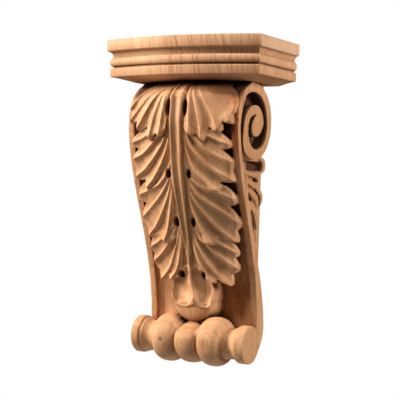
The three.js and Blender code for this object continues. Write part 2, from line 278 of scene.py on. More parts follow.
def fluted_leaf(heap, leaf, flutes, surface):
    """Sharp crests along the ridges, hollow flutes between them, rounded and lifted tips."""
    lobes = len(leaf["ridges"])
    lobe = np.linspace(-0.5, lobes - 0.5, lobes * LOBE_COLUMNS + 1)
    nearest = np.clip(np.round(lobe), 0, lobes - 1)
    offset = np.clip(np.abs(lobe - nearest) * 2, 0, 1)
    down = np.linspace(0, 1, TIER_ROWS)
    low = np.clip(np.floor(lobe), 0, lobes - 2).astype(int)
    share = lobe - low
    notch = np.asarray(leaf["notches"])[low]
    flute = np.asarray(flutes)[low]
    place = down[:, None] * (1 - notch * offset ** 2)[None, :]
    samples = np.linspace(0, 1, RIDGE_SAMPLES)
    curves = ridge_places(leaf["ridges"], samples)
    x = np.empty(place.shape)
    drop = np.empty(place.shape)
    width = np.empty(place.shape)
    for c in range(len(lobe)):
        a, b = curves[low[c]], curves[low[c] + 1]
        line = mix(a, b, share[c])
        gap = np.hypot(*(b - a).T)
        x[:, c] = np.interp(place[:, c], samples, line[:, 0])
        drop[:, c] = np.interp(place[:, c], samples, line[:, 1])
        width[:, c] = np.interp(place[:, c], samples, gap)
    depth = np.minimum(FLUTE["share"] * width, FLUTE["most"]) * flute[None, :]
    hollow = ((1 - offset) ** FLUTE["sharpness"] - 1)[None, :]
    crest = depth * hollow + FLUTE["level"] * FLUTE["most"]
    crest = crest * mix(FLUTE["at_root"], 1.0, ramp(place, FLUTE["from"], FLUTE["full"]))
    lip = LIP["rise"] * ramp(place, LIP["from"], LIP["to"])
    curl = LIP["curl"] * ramp(place, LIP["curl_from"], 1.0)
    root = ROOT["sunk"] * (1 - ramp(place, 0.0, ROOT["to"]))
    relief = crest + leaf["lift"] * (place - LIFT_LEVEL_AT) + lip - curl - root
    thinned = ramp(place, LEAF_THICKNESS["thins_from"], 1.0)
    under = relief - mix(LEAF_THICKNESS["root"], LEAF_THICKNESS["tip"], thinned)
    slab_shell(heap, surface(x, drop, relief), surface(x, drop, under))


def leaf_tiers(heap):
    def build(side):
        def front(x, drop, relief):
            return front_point(side * x, drop, crown(x, drop) + relief)
        fluted_leaf(heap, FAN, FAN["right_flutes"] if side > 0 else FAN["flutes"], front)
        for spray in SPRAYS:
            fluted_leaf(heap, spray, spray["flutes"], front)
    both_sides(build)


# The leaf's own ground, under the lobes and between the tiers

BED = {
    "from": 3, "to": 197, "half_width": 46, "end_half_width": 38, "sunk": 2.6, "thick": 10,
    "columns": 61, "rows": 120,
}


def leaf_bed(heap):
    across = np.linspace(-1, 1, BED["columns"])[None, :]
    down = np.linspace(0, 1, BED["rows"])[:, None]
    drop = mix(BED["from"], BED["to"], down) + 0 * across
    x = across * mix(BED["half_width"], BED["end_half_width"], down)
    relief = crown(x, drop) - BED["sunk"]
    slab_shell(heap, front_point(x, drop, relief), front_point(x, drop, relief - BED["thick"]))


# Midrib: a shallow channel with a crisp ridge on its left and a soft one on its right, which merge
# into one rounded ridge towards the leaf's end

MIDRIB = {
    "from": -2, "to": 222, "merge_from": 150, "merged": 195, "raised": 0.6, "thick": 10,
    "crest": 1.9, "fall": 4.8, "roundness": 0.004, "columns": 61, "rows": 160,
}
MIDRIB_SECTION = [
    (-1, -2.9), (-0.78, -0.6), (-0.6, 1.7), (-0.5, 1.9), (-0.34, 0.1), (-0.1, -0.6), (0.3, -0.3),
    (0.58, 0.6), (0.72, 0.5), (0.86, -0.8), (1, -2.9),
]
MIDRIB_HALF_WIDTH = [(0, 8.6), (60, 8.2), (120, 6.8), (170, 4.4), (226, 2.6)]


def midrib(heap):
    across = np.linspace(-1, 1, MIDRIB["columns"])[None, :]
    down = np.linspace(0, 1, MIDRIB["rows"])[:, None]
    drop = mix(MIDRIB["from"], MIDRIB["to"], down) + 0 * across
    x = across * along(MIDRIB_HALF_WIDTH, drop)
    merged = ramp(drop, MIDRIB["merge_from"], MIDRIB["merged"])
    channel = along(MIDRIB_SECTION, across)
    single = MIDRIB["crest"] - MIDRIB["fall"] * np.sqrt(across ** 2 + MIDRIB["roundness"])
    relief = crown(x, drop) + mix(channel, single, merged) + MIDRIB["raised"]
    slab_shell(heap, front_point(x, drop, relief), front_point(x, drop, relief - MIDRIB["thick"]))


# The end of the leaf: two scoops side by side with a raised lip, leaning a little to the right

TIP = {
    "from": 186, "to": 230, "wave": 3.0, "wave_fill": 0.8, "corner": 5.0, "corner_from": 0.8,
    "thick": 28, "sway": 5.0, "sway_from": 0.3, "root_sunk": 3.0, "root_to": 0.2,
    "columns": 141, "rows": 110,
}
TIP_HALF_WIDTH = [(0, 8), (0.2, 12.5), (0.38, 19.5), (0.5, 22.5), (0.7, 24.6), (1, 24.2)]
SCOOP = {
    "depth": 4.6, "fill": 0.75,
    "across": 0.52, "half_across": 0.5, "flatness_across": 2,
    "down": 0.55, "half_down": 0.44, "flatness_down": 3,
}
TIP_LIP = {"rise": 9.5, "early_share": 0.25, "early": (0.2, 0.6), "late": (0.6, 1.05)}
TIP_RIDGE = {"rise": 3.0, "half_width": 0.12, "sharpness": 1.4, "fades_from": 0.85}


def leaf_tip(heap):
    across = np.linspace(-1, 1, TIP["columns"])[None, :]
    down = np.linspace(0, 1, TIP["rows"])[:, None]
    side = np.abs(across)
    sway = TIP["sway"] * ramp(down, TIP["sway_from"], 1.0) * (1 - across ** 2)
    x = across * along(TIP_HALF_WIDTH, down) + sway
    corner = TIP["corner"] * ramp(side, TIP["corner_from"], 1.0)
    end = TIP["to"] + TIP["wave"] * np.sin(math.pi * side) ** TIP["wave_fill"] - corner
    drop = mix(TIP["from"], end, down)
    off_across = np.abs((side - SCOOP["across"]) / SCOOP["half_across"])
    off_down = np.abs((down - SCOOP["down"]) / SCOOP["half_down"])
    left = 1 - off_across ** SCOOP["flatness_across"] - off_down ** SCOOP["flatness_down"]
    scoop = SCOOP["depth"] * np.clip(left, 0, 1) ** SCOOP["fill"]
    early = TIP_LIP["early_share"]
    lip = TIP_LIP["rise"] * mix(ramp(down, *TIP_LIP["late"]), ramp(down, *TIP_LIP["early"]), early)
    ridge = TIP_RIDGE["rise"] * np.exp(-(side / TIP_RIDGE["half_width"]) ** TIP_RIDGE["sharpness"])
    ridge = ridge * (1 - ramp(down, TIP_RIDGE["fades_from"], 1.0))
    root = TIP["root_sunk"] * (1 - ramp(down, 0.0, TIP["root_to"]))
    relief = crown(x, drop) + ridge + lip - scoop - root
    slab_shell(heap, front_point(x, drop, relief), front_point(x, drop, relief - TIP["thick"]))


# Drop under the leaf's end: flat-faced, with a rounded foot, on a straight wall of its own outline

BOSS = {
    "drop": 230, "half_width": 23, "half_height": 19.5, "above": 0.08, "wall": 18.5, "bulge": 7,
    "flatness": 1.6, "fill": 0.6, "sunk": 6, "points": 61,
}


def drop_boss(heap):
    u = np.linspace(-1, 1, BOSS["points"])[None, :]
    v = np.linspace(-BOSS["above"], 1, BOSS["points"])[:, None]
    across = u * np.sqrt(1 - v * v / 2)
    down = v * np.sqrt(1 - u * u / 2)
    bulge = np.clip(1 - (across ** 2 + down ** 2) ** BOSS["flatness"], 0, 1) ** BOSS["fill"]
    x = across * BOSS["half_width"]
    drop = BOSS["drop"] + down * BOSS["half_height"]
    relief = BOSS["wall"] + BOSS["bulge"] * bulge
    slab_shell(heap, front_point(x, drop, relief), front_point(x, drop, 0 * relief - BOSS["sunk"]))


# Block behind the leaf, the sunk field, and the S-scroll ribbon with its rims

BODY_ROWS = 160
RIBBON_ROWS = 170
LEAST_FIELD = 1.5
OVERLAP = 1.0


def core(heap):
    heights = np.linspace(BODY_FOOT, CONSOLE_TOP, BODY_ROWS)
    outline = np.column_stack([rim_reach(heights) - FIELD_DEPTH, heights]).tolist()
    outline += [(0, CONSOLE_TOP), (0, BODY_FOOT)]
    plate_across(heap, outline, -CHEEK_HALF_WIDTH, CHEEK_HALF_WIDTH)


def ribbon(heap):
    heights = np.linspace(BODY_FOOT, CONSOLE_TOP, RIBBON_ROWS)
    outer = rim_reach(heights)
    inner = outer - along(RIBBON_THICKNESS, heights)
    sunk = np.maximum(outer - FIELD_DEPTH, inner + LEAST_FIELD)
    rim_from = BODY_HALF_WIDTH - RIM_WIDTH
    strips = (
        (sunk, CHEEK_HALF_WIDTH - OVERLAP, rim_from + OVERLAP / 2),
        (outer, rim_from, BODY_HALF_WIDTH),
    )

    def build(side):
        for front, near, far in strips:
            front_line = np.column_stack([front, heights])
            back_line = np.column_stack([inner, heights])[::-1]
            ends = sorted((side * near, side * far))
            plate_across(heap, np.concatenate([front_line, back_line]), *ends)
    both_sides(build)


# Volute: a ribbon that winds from the front over the top and down the back, then inward to the eye.
# Its edges are (turn in degrees, distance) about its centre, built in parts that overlap.

VOLUTE = (45.0, 253.5)
RING_OUTER = [
    (0, 37), (90, 39), (180, 37.8), (245, 39), (285, 38.5), (305, 37.5), (320, 33), (334, 27.4),
    (345, 24.6), (374, 20.6), (398, 18.4), (422, 16.9), (450, 16.6), (478, 17.6), (500, 18.2),
]
RING_INNER = [
    (0, 33.5), (11, 33.4), (29, 33), (48, 32), (69, 30.5), (90, 29.4), (113, 28.8), (134, 28.4),
    (160, 27.6), (184, 28.2), (206, 29.6), (230, 30.3), (253, 29.2), (270, 28), (293, 24.6), (313, 20),
    (335, 15.8), (357, 12.4), (379, 9.6), (425, 6.3), (460, 7.5), (500, 9.6),
]
EYE_EDGE = [
    (100, 17), (141, 18.2), (165, 18.9), (186, 19.2), (209, 17.8), (240, 16.6), (270, 15.4),
    (293, 13.2), (316, 9.2), (345, 5.2), (402, 3.2), (477, 6.1),
]
RING_PARTS = [(0, 150), (147, 291), (288, 390), (387, 495)]
EYE_TURNS = (100, 475)
TURN_STEP = 3


def turned_line(edge, start, end):
    turns = np.arange(start, end + TURN_STEP, TURN_STEP)
    angle = np.radians(turns)
    far = along(edge, turns)
    height = np.minimum(VOLUTE[1] + far * np.sin(angle), CONSOLE_TOP)
    return np.column_stack([VOLUTE[0] + far * np.cos(angle), height])


def volutes(heap):
    outlines = [turned_line(EYE_EDGE, *EYE_TURNS)]
    for start, end in RING_PARTS:
        outer, inner = turned_line(RING_OUTER, start, end), turned_line(RING_INNER, start, end)
        outlines.append(np.concatenate([outer, inner[::-1]]))

    def build(side):
        ends = sorted((side * (CHEEK_HALF_WIDTH - OVERLAP), side * BODY_HALF_WIDTH))
        for outline in outlines:
            plate_across(heap, outline, *ends)
    both_sides(build)


# Carved leaves on the cheeks, behind the ribbon: low blades with a vein, along a (reach, height) spine

CHEEK_BLADES = [
    {"spine": [(9, 218), (3.5, 214), (2.5, 206), (8, 200)], "half_width": 4.0, "rise": 5.5},
    {"spine": [(34, 200), (24, 199.5), (14, 199), (3, 199.5)], "half_width": 3.6, "rise": 4.5},
    {"spine": [(36, 193), (26, 190), (14, 187), (2, 187)], "half_width": 3.8, "rise": 4.0},
    {"spine": [(33, 184), (24, 180), (14, 174), (7, 163)], "half_width": 4.6, "rise": 4.0},
    {"spine": [(15, 184), (8, 181), (4, 175), (3, 166)], "half_width": 4.0, "rise": 4.4},
    {"spine": [(33, 173), (24, 163), (13, 148), (7, 126)], "half_width": 7.2, "rise": 4.8},
    {"spine": [(37, 206), (37, 188), (33, 168), (28, 148)], "half_width": 2.2, "rise": 3.6},
]
BLADE = {
    "columns": 41, "rows": 70, "end": 0.004, "sunk": 4.0, "from_back": 0.3, "swell": 0.5,
    "flatness": 3, "fill": 0.5,
}
VEIN = {"depth": 1.6, "half_width": 0.16, "from": 0.4, "full": 0.9}


def cheek_leaves(heap):
    across = np.linspace(-1, 1, BLADE["columns"])[None, :]
    v = np.linspace(BLADE["end"], 1 - BLADE["end"], BLADE["rows"])
    swell = np.sin(math.pi * v) ** BLADE["swell"]
    section = np.clip(1 - np.abs(across) ** BLADE["flatness"], 0, 1) ** BLADE["fill"]
    vein_shown = ramp(swell, VEIN["from"], VEIN["full"])[:, None]
    vein = VEIN["depth"] * np.exp(-(across / VEIN["half_width"]) ** 2) * vein_shown

    def build(side):
        for blade in CHEEK_BLADES:
            spine = np.asarray(blade["spine"], float)
            keys = np.linspace(0, 1, len(spine))
            reach = along(np.column_stack([keys, spine[:, 0]]), v)
            height = along(np.column_stack([keys, spine[:, 1]]), v)
            way = np.stack([np.gradient(reach), np.gradient(height)], axis=-1)
            way /= np.linalg.norm(way, axis=1, keepdims=True)
            step = across * (blade["half_width"] * swell)[:, None]
            relief = section * (blade["rise"] * swell)[:, None] - vein

            def cheek(rise):
                return np.stack([
                    side * (CHEEK_HALF_WIDTH + rise),
                    np.maximum(reach[:, None] - way[:, 1:2] * step, BLADE["from_back"]),
                    height[:, None] + way[:, 0:1] * step,
                ], axis=-1)
            slab_shell(heap, cheek(relief), cheek(0 * relief - BLADE["sunk"]))
    both_sides(build)


# Foot roll: turned about an axis across the object, with three balls between flared ends

ROLL = {
    "reach": 44, "height": 25.5, "half_length": 67, "flare_end": 57, "ball": 25.5, "groove": 17.0,
    "disc": 19.6, "hollow": 2.8, "ball_roundness": 2.2, "stations": 340, "around": 120,
}
BALL_PITCH = 27.0
BALLS_END = BALL_PITCH * 1.5
MIDDLE_BALL = {"less": 1.2, "cut_back": 0.26, "side": (10.5, 13.5), "up": (0.1, 0.9)}
END_ROUND = {"depth": 0.8, "length": 1.2}
TURNED_GROOVES = [
    {"x": -56.8, "half_width": 0.9, "depth": 2.0},
    {"x": 47, "half_width": 0.6, "depth": 0.45},
    {"x": 50, "half_width": 0.6, "depth": 0.45},
    {"x": 53, "half_width": 0.6, "depth": 0.45},
]


def roll_radius(x):
    across = np.abs(x)
    offset = (across - BALL_PITCH * np.round(across / BALL_PITCH)) / (BALL_PITCH / 2)
    bulge = np.sqrt(np.clip(1 - np.clip(np.abs(offset), 0, 1) ** ROLL["ball_roundness"], 0, 1))
    largest = ROLL["ball"] - MIDDLE_BALL["less"] * (across < BALL_PITCH / 2)
    ball = mix(ROLL["groove"], largest, bulge)
    flare = np.clip((across - BALLS_END) / (ROLL["flare_end"] - BALLS_END), 0, 1)
    end = mix(ROLL["groove"], ROLL["disc"], ramp(flare, 0, 1))
    end = end - ROLL["hollow"] * np.sin(math.pi * flare)
    for groove in TURNED_GROOVES:
        end = end - groove["depth"] * np.exp(-((x - groove["x"]) / groove["half_width"]) ** 2)
    rounded = ramp(across, ROLL["half_length"] - END_ROUND["length"], ROLL["half_length"])
    return np.where(across < BALLS_END, ball, end - END_ROUND["depth"] * rounded)


def foot_roll(heap):
    """The middle ball is cut back above, where the drop hangs in front of it."""
    around = ROLL["around"]
    xs = np.linspace(-ROLL["half_length"], ROLL["half_length"], ROLL["stations"])
    turn = np.linspace(0, 2 * math.pi, around, endpoint=False)[None, :]
    middle = (1 - ramp(np.abs(xs), *MIDDLE_BALL["side"]))[:, None]
    cut = MIDDLE_BALL["cut_back"] * middle * ramp(np.sin(turn), *MIDDLE_BALL["up"])
    radius = roll_radius(xs)[:, None] * (1 - cut)
    points = np.stack([
        xs[:, None] + 0 * turn,
        ROLL["reach"] + radius * np.cos(turn),
        ROLL["height"] + radius * np.sin(turn),
    ], axis=-1)
    faces = grid_faces(len(xs), around, wrap=True)
    faces.append(tuple(range(around - 1, -1, -1)))
    faces.append(tuple(range((len(xs) - 1) * around, len(xs) * around)))
    heap.add(points, faces)


# Holes and cuts are made after the shells are fused, by pushing the surface in. Points are in
# millimetres: x, reach, height.

EYELETS = [(10, 29, 2.6, 9), (12, 95, 2.8, 5), (10, 144, 2.8, 5.5), (13.5, 199, 3.2, 4.2)]
EYELET = {"depth": 9.0, "edge": (0.65, 1.1), "behind": 8.0}
CHEEK_CUTS = [
    (20, 208.5, 14.5, 4.4, 3, 5.0),
    (13, 193.4, 6.5, 1.6, 6, 4.5),
    (11.5, 178.5, 6.0, 1.5, 48, 4.5),
    (6.8, 170.5, 6.5, 1.4, 72, 4.5),
    (27, 176, 8.0, 1.3, 40, 4.0),
    (21, 152, 13.0, 1.4, 60, 4.0),
]
CHEEK_CUT = {"edge": (0.75, 1.1), "inside": 1.0, "outside": 7.0, "squareness": 4}


def drill_eyelets(points):
    """Each eyelet is (x, drop, half width, half height), on both sides of the midrib."""
    for x, drop, half_width, half_height in EYELETS:
        height = NECK_HEIGHT - drop
        face = float(rim_reach(height) + crown(x, drop))
        for side in (-1, 1):
            off_side = (points[:, 0] - side * x) / half_width
            off_height = (points[:, 2] - height) / half_height
            hole = 1 - ramp(np.hypot(off_side, off_height), *EYELET["edge"])
            near = points[:, 1] > face - EYELET["behind"]
            points[:, 1] -= np.where(near, EYELET["depth"] * hole, 0)
    return points


def cut_cheeks(points):
    """Each cut is (reach, height, half length, half width, tilt in degrees, depth)."""
    for reach, height, half_length, half_width, tilt, depth in CHEEK_CUTS:
        turn = math.radians(tilt)
        ahead = points[:, 1] - reach
        above = points[:, 2] - height
        length = (ahead * math.cos(turn) + above * math.sin(turn)) / half_length
        breadth = (above * math.cos(turn) - ahead * math.sin(turn)) / half_width
        square = CHEEK_CUT["squareness"]
        away = (np.abs(length) ** square + np.abs(breadth) ** square) ** (1 / square)
        cut = depth * (1 - ramp(away, *CHEEK_CUT["edge"]))
        over_cheek = np.abs(points[:, 0]) - CHEEK_HALF_WIDTH
        near = (over_cheek > -CHEEK_CUT["inside"]) & (over_cheek < CHEEK_CUT["outside"])
        points[:, 0] -= np.where(near, np.sign(points[:, 0]) * cut, 0)
    return points


# Console: shells fused into one closed surface, carved, and thinned to the triangles it needs

VOXEL = 0.7
SMOOTH = {"factor": 0.5, "iterations": 2}
MOST_TRIANGLES = 190000
CARVED_SHARP_ANGLE = 40


def apply_modifier(piece, kind, **settings):
    modifier = piece.modifiers.new(kind.lower(), kind)
    for key, value in settings.items():
        setattr(modifier, key, value)
    graph = bpy.context.evaluated_depsgraph_get()
    made = bpy.data.meshes.new_from_object(piece.evaluated_get(graph))
    piece.modifiers.clear()
    old = piece.data
    piece.data = made
    bpy.data.meshes.remove(old)


def fuse(heap, name):
    piece = bpy.data.objects.new(name, heap.mesh(name))
    bpy.context.scene.collection.objects.link(piece)
    voxel = VOXEL
    apply_modifier(piece, "REMESH", mode="VOXEL", voxel_size=voxel * MM, use_smooth_shade=True)
    apply_modifier(piece, "SMOOTH", **SMOOTH)
    return piece


def carve(mesh):
    """Makes the holes and cuts, and trims the back, the foot and the top flat."""
    flat = np.empty(len(mesh.vertices) * 3)
    mesh.vertices.foreach_get("co", flat)
    points = cut_cheeks(drill_eyelets(in_millimetres(flat.reshape(-1, 3))))
    points[:, 1] = np.maximum(points[:, 1], 0)
    points[:, 2] = np.clip(points[:, 2], 0, CONSOLE_TOP)
    mesh.vertices.foreach_set("co", in_row_frame(points).ravel())
    mesh.update()


def thin(piece, most):
    triangles = sum(len(p.vertices) - 2 for p in piece.data.polygons)
    if triangles > most:
        apply_modifier(piece, "DECIMATE", ratio=most / triangles)


def smooth_but_for_edges(piece, sharp_angle):
    piece.data.shade_smooth()
    piece.data.set_sharp_from_angle(angle=math.radians(sharp_angle))


def build_console():
    heap = Heap()
    core(heap)
    ribbon(heap)
    volutes(heap)
    cheek_leaves(heap)
    leaf_bed(heap)
    leaf_tiers(heap)
    midrib(heap)
    leaf_tip(heap)
    drop_boss(heap)
    foot_roll(heap)
    piece = fuse(heap, "console_carving")
    carve(piece.data)
    thin(piece, MOST_TRIANGLES)
    smooth_but_for_edges(piece, CARVED_SHARP_ANGLE)
    return piece


# Top board: a mould profile swept round the front and both ends. Stations are (drop below the top,
# inset from the widest plan).

BOW_STEPS = 72
BOARD_SHARP_ANGLE = 32
FASCIA = [(0, 0.7), (0.25, 0.25), (0.8, 0), (11.0, 0), (11.6, 0.3), (12.1, 1.0), (12.3, 1.9)]
COVE = {"drop": 12.4, "inset": 1.9, "height": 6.0, "depth": 3.2, "steps": 12}
TORUS = {"drop": 18.4, "inset": 5.1, "height": 9.2, "bulge": 2.7, "steps": 24}
QUIRK = [(28.0, 5.5), (28.8, 5.6), (29.2, 4.6), (29.5, 3.4), (30.1, 2.9)]
LOWER_FASCIA = [(37.8, 3.0), (38.3, 3.25), (38.6, 3.8)]
UNDERSIDE = {"drop": 38.6, "inset": 3.8, "height": 4.4, "width": 18.2, "sweep": 1.3, "steps": 12}


def steps(part):
    """Shares of a curved part from its first step to its end."""
    return [i / part["steps"] for i in range(1, part["steps"] + 1)]


def mould_profile():
    cove, torus, under = [], [], []
    for k in steps(COVE):
        angle = math.pi / 2 * k
        down = COVE["height"] * (1 - math.cos(angle))
        cove.append((COVE["drop"] + down, COVE["inset"] + COVE["depth"] * math.sin(angle)))
    for k in steps(TORUS):
        angle = math.pi * k
        down = TORUS["height"] / 2 * (1 - math.cos(angle))
        torus.append((TORUS["drop"] + down, TORUS["inset"] - TORUS["bulge"] * math.sin(angle)))
    for k in steps(UNDERSIDE):
        down = UNDERSIDE["height"] * k ** UNDERSIDE["sweep"]
        under.append((UNDERSIDE["drop"] + down, UNDERSIDE["inset"] + UNDERSIDE["width"] * k))
    return FASCIA + cove + torus + QUIRK + LOWER_FASCIA + under


def plan_points(inset):
    """The board's outline from above, from the wall round the bowed front and back."""
    half_width = BOARD_HALF_WIDTH - inset
    place = np.linspace(-1, 1, BOW_STEPS + 1)
    front = BOARD_DEPTH - inset + BOARD_BOW * (1 - place ** 2)
    x = np.concatenate([[-half_width], place * half_width, [half_width]])
    reach = np.concatenate([[0], front, [0]])
    return x, reach


def build_board():
    heap = Heap()
    rings = []
    for drop, inset in mould_profile():
        x, reach = plan_points(inset)
        rings.append(np.column_stack([x, reach, np.full(len(x), TOTAL_HEIGHT - drop)]))
    count = len(rings[0])
    faces = grid_faces(len(rings), count, wrap=True, flip=True)
    faces.append(tuple(range(count)))
    faces.append(tuple(range(len(rings) * count - 1, (len(rings) - 1) * count - 1, -1)))
    heap.add(np.concatenate(rings), faces)
    piece = bpy.data.objects.new("abacus_board", heap.mesh("abacus_board"))
    bpy.context.scene.collection.objects.link(piece)
    smooth_but_for_edges(piece, BOARD_SHARP_ANGLE)
    return piece


# Small helper to build a node tree

class Nodes:
    """The node tree of a material or a world, and short ways to add the nodes used here."""

    def __init__(self, owner):
        owner.use_nodes = True
        self.tree = owner.node_tree
        self.tree.nodes.clear()

    def add(self, kind, inputs=None, **settings):
        node = self.tree.nodes.new(kind)
        for key, value in settings.items():
            setattr(node, key, value)
        for key, value in (inputs or {}).items():
            self.put(node.inputs[key], value)
        return node

    def put(self, socket, value):
        if isinstance(value, bpy.types.NodeSocket):
            self.tree.links.new(value, socket)
        else:
            socket.default_value = value

    def math(self, operation, a, b=0.0):
        return self.add("ShaderNodeMath", {0: a, 1: b}, operation=operation).outputs[0]

    def vector(self, operation, a, b):
        return self.add("ShaderNodeVectorMath", {0: a, 1: b}, operation=operation).outputs[0]

    def length(self, a):
        return self.add("ShaderNodeVectorMath", {0: a}, operation="LENGTH").outputs["Value"]

    def part(self, vector, name):
        return self.add("ShaderNodeSeparateXYZ", {0: vector}).outputs[name]

    def noise(self, place, detail, roughness=0.5):
        return self.add("ShaderNodeTexNoise", {
            "Vector": place, "Scale": 1.0, "Detail": detail, "Roughness": roughness}).outputs["Fac"]

    def grain(self, mm, stretch, detail, roughness=0.5):
        """Noise with its own scale, per millimetre, along each axis."""
        return self.noise(self.vector("MULTIPLY", mm, stretch), detail, roughness)

    def remap(self, value, low, high, to_low=0.0, to_high=1.0):
        return self.add("ShaderNodeMapRange", {
            "Value": value, "From Min": low, "From Max": high,
            "To Min": to_low, "To Max": to_high}).outputs[0]

    def blend(self, share, a, b):
        node = self.add("ShaderNodeMix", {"Factor": share}, data_type="RGBA")
        self.put(node.inputs[6], a)
        self.put(node.inputs[7], b)
        return node.outputs[2]

    def away(self, mm, centre, radii):
        """From a centre, in shares of the radii."""
        shares = tuple(1 / radius for radius in radii)
        return self.vector("MULTIPLY", self.vector("SUBTRACT", mm, centre), shares)


def new_material(name, build_shader):
    material = bpy.data.materials.new(name)
    nodes = Nodes(material)
    shader = build_shader(nodes)
    nodes.add("ShaderNodeOutputMaterial", {0: shader.outputs[0]})
    return material


def shade(red, green, blue):
    """An sRGB colour, 0 to 255, as linear RGBA."""
    def linear(value):
        value /= 255
        return value / 12.92 if value <= 0.04045 else ((value + 0.055) / 1.055) ** 2.4
    return (linear(red), linear(green), linear(blue), 1.0)


# Wood: growth rings round an upright axis, long streaks, short ray flecks, broad tone and stains, with
# painted shade in the hollows and cheek recesses, a painted shadow under the board, and paler wood
# with painted light on the board's right end

GRAIN = {
    "wander": ((0.02, 0.02, 0.005), 2.0),
    "broad": ((0.02, 0.02, 0.007), 2.0),
    "streak": ((0.4, 0.4, 0.01), 4.0, 0.6),
    "fine": ((2.4, 2.4, 0.06), 3.0, 0.6),
    "fleck": ((1.5, 1.5, 0.4), 1.0),
}
RING_NOISE = {"detail": 2.0, "roughness": 0.6}
RING_TONE = (150, 92, 52)
BROAD_TONE = (184, 128, 84)
FINE_TONE = (142, 90, 56)
FLECK_TONE = (104, 62, 36)
CONTOUR_TONE = (138, 88, 52)
# Painted shade: tones that darken the hollows, mixed in by ambient occlusion
PAINTED_HOLLOW_SHADE = (92, 52, 27)
PAINTED_DEEP_SHADE = (42, 23, 12)
PAINTED_SHADE_OCCLUSION = {"distance": 0.011, "samples": 8}
RELIEF = {"fine": 0.5, "streak": 0.6, "strength": 0.22, "distance": 0.0005}
SPECULAR = 0.3

# The values at which each layer starts to show and shows in full, then its least and most share
# where they aren't 0 and 1 or the look's own
# The two ambient occlusion entries set where the painted shade in hollows starts and is full.
SHOWN = {
    "streak": (0.35, 0.68), "broad": (0.42, 0.75, 0.0, 0.5), "ring": (0.5, 0.68),
    "fine": (0.5, 0.76, 0.0, 0.38), "fleck": (0.62, 0.75), "hollow": (0.8, 0.3, 0.0, 0.7),
    "deep_shade": (0.5, 0.15, 0.0, 0.85), "roughness": (0.3, 0.7, 0.5, 0.68),
}
PLAIN_EDGE = (-25, 15)
RIGHT_END = (88.5, 86.5)
PATCH_EDGE = (1.1, 0.25)
FRONT_EDGE = (-0.45, -0.75)
SHADE_BOX_EDGE = (1.0, 0.72)
CONTOURS = {"count": 5.0, "wander": 7.0, "share": 0.35, "line": (0.3, 0.5), "edge": (1.1, 0.7)}

# Painted shade: near-black boxes on each cheek, over the recess inside the volute and the recess below
# it
CHEEK_SHADE_POCKETS = [
    ((50.5, -43, 88.5), (13.5, 37, 39), 0.9, (58, 28, 10)),
    ((47, -20, 43.5), (8, 19, 6), 0.9, (60, 31, 13)),
]
CONSOLE_LOOK = {
    "pith": (-40, 150, 0), "slant": 0.05, "wander": 14.0, "ring_gap": 4.6, "ring_share": 0.42,
    "fleck_share": 0.55, "plain_to": -500, "plain_share": 1.0, "end_share": 1.0,
    "pale": (224, 178, 136), "middle": (204, 152, 108),
    "marks_and_painted_light": [
        # Mostly painted shadow of the board, partly darker wood: a brown patch at the top right
        ((46, -88, 116), (26, 30, 16), 0.6, (120, 66, 28)),
        # Darker patch over the lower right of the leaf
        ((25, -52, -8), (34, 40, 40), 0.35, (128, 82, 50)),
        ((-26, -68, -139), (3.2, 6, 3.2), 0.8, (96, 56, 30)),
        ((25, -68, -139), (6, 8, 7), 0.5, (150, 92, 50)),
    ],
    "shade_pockets": CHEEK_SHADE_POCKETS + [((-x, y, z), *rest) for (x, y, z), *rest in CHEEK_SHADE_POCKETS],
    "front_marks": [((62, -80, 84), (14, 7, 44), 0.95, (160, 84, 32))],
    "contours": [((44, -64, -12), (12, 40, 24))],
}
BOARD_LOOK = {
    "pith": (-420, 60, 0), "slant": 0.75, "wander": 30.0, "ring_gap": 2.3, "ring_share": 0.8,
    "fleck_share": 0.3, "plain_to": -8, "plain_share": 0.2, "end_share": 0.15,
    "pale": (228, 182, 142), "middle": (210, 160, 118),
    # Paler right end of the board: partly paler wood, partly painted light from the right
    "marks_and_painted_light": [((90.5, -45, 152), (3, 90, 70), 0.4, (232, 200, 174))],
    "shade_pockets": [], "front_marks": [], "contours": [],
}


def growth_rings(nodes, mm, wander, look):
    """Uneven layers at a set gap, round an axis that the look's pith and slant give."""
    level = nodes.vector("MULTIPLY", nodes.vector("SUBTRACT", mm, look["pith"]), (1, 1, look["slant"]))
    bent = nodes.math("ADD", nodes.length(level), nodes.math("MULTIPLY", wander, look["wander"]))
    layer = nodes.math("DIVIDE", bent, look["ring_gap"])
    return nodes.noise(nodes.add("ShaderNodeCombineXYZ", {0: layer}).outputs[0], **RING_NOISE)


def figured_share(nodes, mm, look):
    """1 where rings and fine grain show in full, less on the plain left part and the right end."""
    across = nodes.part(mm, "X")
    start, full = (look["plain_to"] + edge for edge in PLAIN_EDGE)
    figured = nodes.remap(across, start, full, look["plain_share"], 1.0)
    return nodes.math("MULTIPLY", figured, nodes.remap(across, *RIGHT_END, look["end_share"], 1.0))


def round_patch(nodes, mm, centre, radii, share):
    """A soft round patch: its share at the centre, nothing outside its radii."""
    return nodes.remap(nodes.length(nodes.away(mm, centre, radii)), *PATCH_EDGE, 0.0, share)


def front_mark(nodes, mm, centre, radii, share):
    """A mark that lies only on faces that look out from the wall."""
    normal = nodes.add("ShaderNodeTexCoord").outputs["Normal"]
    facing = nodes.remap(nodes.part(normal, "Y"), *FRONT_EDGE)
    return nodes.math("MULTIPLY", round_patch(nodes, mm, centre, radii, share), facing)


def shade_box(nodes, mm, centre, halves, share):
    """A box with soft sides, for painted shade: its share inside, nothing outside."""
    away = nodes.away(mm, centre, halves)
    inside = share
    for name in ("X", "Y", "Z"):
        part = nodes.math("ABSOLUTE", nodes.part(away, name))
        inside = nodes.math("MULTIPLY", inside, nodes.remap(part, *SHADE_BOX_EDGE))
    return inside


